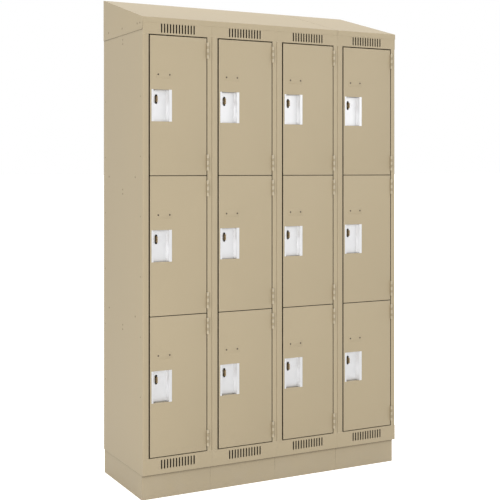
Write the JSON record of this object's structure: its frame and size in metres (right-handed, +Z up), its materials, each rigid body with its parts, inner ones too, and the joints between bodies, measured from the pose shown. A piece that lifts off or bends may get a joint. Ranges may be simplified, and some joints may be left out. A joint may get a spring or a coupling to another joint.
{
  "type": "locker cabinet",
  "caption": "Bank of steel box lockers with flush hinged doors, recessed padlock pulls, louvred rails, a sloping top and a closed base.",
  "frame": {"origin": "centre of the footprint, on the floor", "axes": "+Z up, the doors face -Y, +X is to the right as seen from the front"},
  "size_m": [1.2242, 0.4665, 2.0574],
  "materials": {
    "body": "beige powder coat, fine orange peel",
    "door": "beige powder coat, fine orange peel",
    "top": "beige powder coat, fine orange peel",
    "base": "beige powder coat, fine orange peel",
    "interior": "beige powder coat, fine orange peel",
    "hinge": "beige powder coat over steel knuckles",
    "pull": "satin brushed",
    "pin": "plain drawn steel",
    "hasp": "bronze-tan coat, worn at the eye",
    "hook": "zinc plated",
    "silencer": "matt black",
    "fastener": "beige powder coat over the heads"
  },
  "bodies": {
    "bank": {"latch_side_1": "body", "latch_side_2": "body", "latch_side_3": "body", "latch_side_4": "body", "hinge_side_1": "body", "hinge_side_2": "body", "hinge_side_3": "body", "hinge_side_4": "body", "louvred_rails": "body", "back_panels": "interior", "tier_shelves": "interior", "floor_panels": "interior", "ceiling_panels": "interior", "slope_top_wide": "top", "slope_top_narrow": "top", "slope_top_ends": "top", "base_fronts": "base", "base_frame": "base", "hinge_frame_leaves": "hinge", "hinge_pins": "pin", "padlock_hasps": "hasp", "coat_hooks": "hook", "silencers": "silencer", "fasteners": "fastener"},
    "leaf_1_bottom": {"door_1_bottom": "door", "pull_1_bottom": "pull", "door_hinges_1_bottom": "hinge"},
    "leaf_1_middle": {"door_1_middle": "door", "pull_1_middle": "pull", "door_hinges_1_middle": "hinge"},
    "leaf_1_top": {"door_1_top": "door", "pull_1_top": "pull", "door_hinges_1_top": "hinge"},
    "leaf_2_bottom": {"door_2_bottom": "door", "pull_2_bottom": "pull", "door_hinges_2_bottom": "hinge"},
    "leaf_2_middle": {"door_2_middle": "door", "pull_2_middle": "pull", "door_hinges_2_middle": "hinge"},
    "leaf_2_top": {"door_2_top": "door", "pull_2_top": "pull", "door_hinges_2_top": "hinge"},
    "leaf_3_bottom": {"door_3_bottom": "door", "pull_3_bottom": "pull", "door_hinges_3_bottom": "hinge"},
    "leaf_3_middle": {"door_3_middle": "door", "pull_3_middle": "pull", "door_hinges_3_middle": "hinge"},
    "leaf_3_top": {"door_3_top": "door", "pull_3_top": "pull", "door_hinges_3_top": "hinge"},
    "leaf_4_bottom": {"door_4_bottom": "door", "pull_4_bottom": "pull", "door_hinges_4_bottom": "hinge"},
    "leaf_4_middle": {"door_4_middle": "door", "pull_4_middle": "pull", "door_hinges_4_middle": "hinge"},
    "leaf_4_top": {"door_4_top": "door", "pull_4_top": "pull", "door_hinges_4_top": "hinge"}
  },
  "joints": [
    {"name": "hinge_1_bottom", "type": "hinge", "parent": "bank", "child": "leaf_1_bottom", "pos_m": [-0.32605, -0.22875, 0.4508], "axis": [0, 0, 1], "range_deg": [0, 180]},
    {"name": "hinge_1_middle", "type": "hinge", "parent": "bank", "child": "leaf_1_middle", "pos_m": [-0.32605, -0.22875, 1.0144], "axis": [0, 0, 1], "range_deg": [0, 180]},
    {"name": "hinge_1_top", "type": "hinge", "parent": "bank", "child": "leaf_1_top", "pos_m": [-0.32605, -0.22875, 1.578], "axis": [0, 0, 1], "range_deg": [0, 180]},
    {"name": "hinge_2_bottom", "type": "hinge", "parent": "bank", "child": "leaf_2_bottom", "pos_m": [-0.02125, -0.22875, 0.4508], "axis": [0, 0, 1], "range_deg": [0, 180]},
    {"name": "hinge_2_middle", "type": "hinge", "parent": "bank", "child": "leaf_2_middle", "pos_m": [-0.02125, -0.22875, 1.0144], "axis": [0, 0, 1], "range_deg": [0, 180]},
    {"name": "hinge_2_top", "type": "hinge", "parent": "bank", "child": "leaf_2_top", "pos_m": [-0.02125, -0.22875, 1.578], "axis": [0, 0, 1], "range_deg": [0, 180]},
    {"name": "hinge_3_bottom", "type": "hinge", "parent": "bank", "child": "leaf_3_bottom", "pos_m": [0.28355, -0.22875, 0.4508], "axis": [0, 0, 1], "range_deg": [0, 180]},
    {"name": "hinge_3_middle", "type": "hinge", "parent": "bank", "child": "leaf_3_middle", "pos_m": [0.28355, -0.22875, 1.0144], "axis": [0, 0, 1], "range_deg": [0, 180]},
    {"name": "hinge_3_top", "type": "hinge", "parent": "bank", "child": "leaf_3_top", "pos_m": [0.28355, -0.22875, 1.578], "axis": [0, 0, 1], "range_deg": [0, 180]},
    {"name": "hinge_4_bottom", "type": "hinge", "parent": "bank", "child": "leaf_4_bottom", "pos_m": [0.58835, -0.22875, 0.4508], "axis": [0, 0, 1], "range_deg": [0, 180]},
    {"name": "hinge_4_middle", "type": "hinge", "parent": "bank", "child": "leaf_4_middle", "pos_m": [0.58835, -0.22875, 1.0144], "axis": [0, 0, 1], "range_deg": [0, 180]},
    {"name": "hinge_4_top", "type": "hinge", "parent": "bank", "child": "leaf_4_top", "pos_m": [0.58835, -0.22875, 1.578], "axis": [0, 0, 1], "range_deg": [0, 180]}
  ]
}
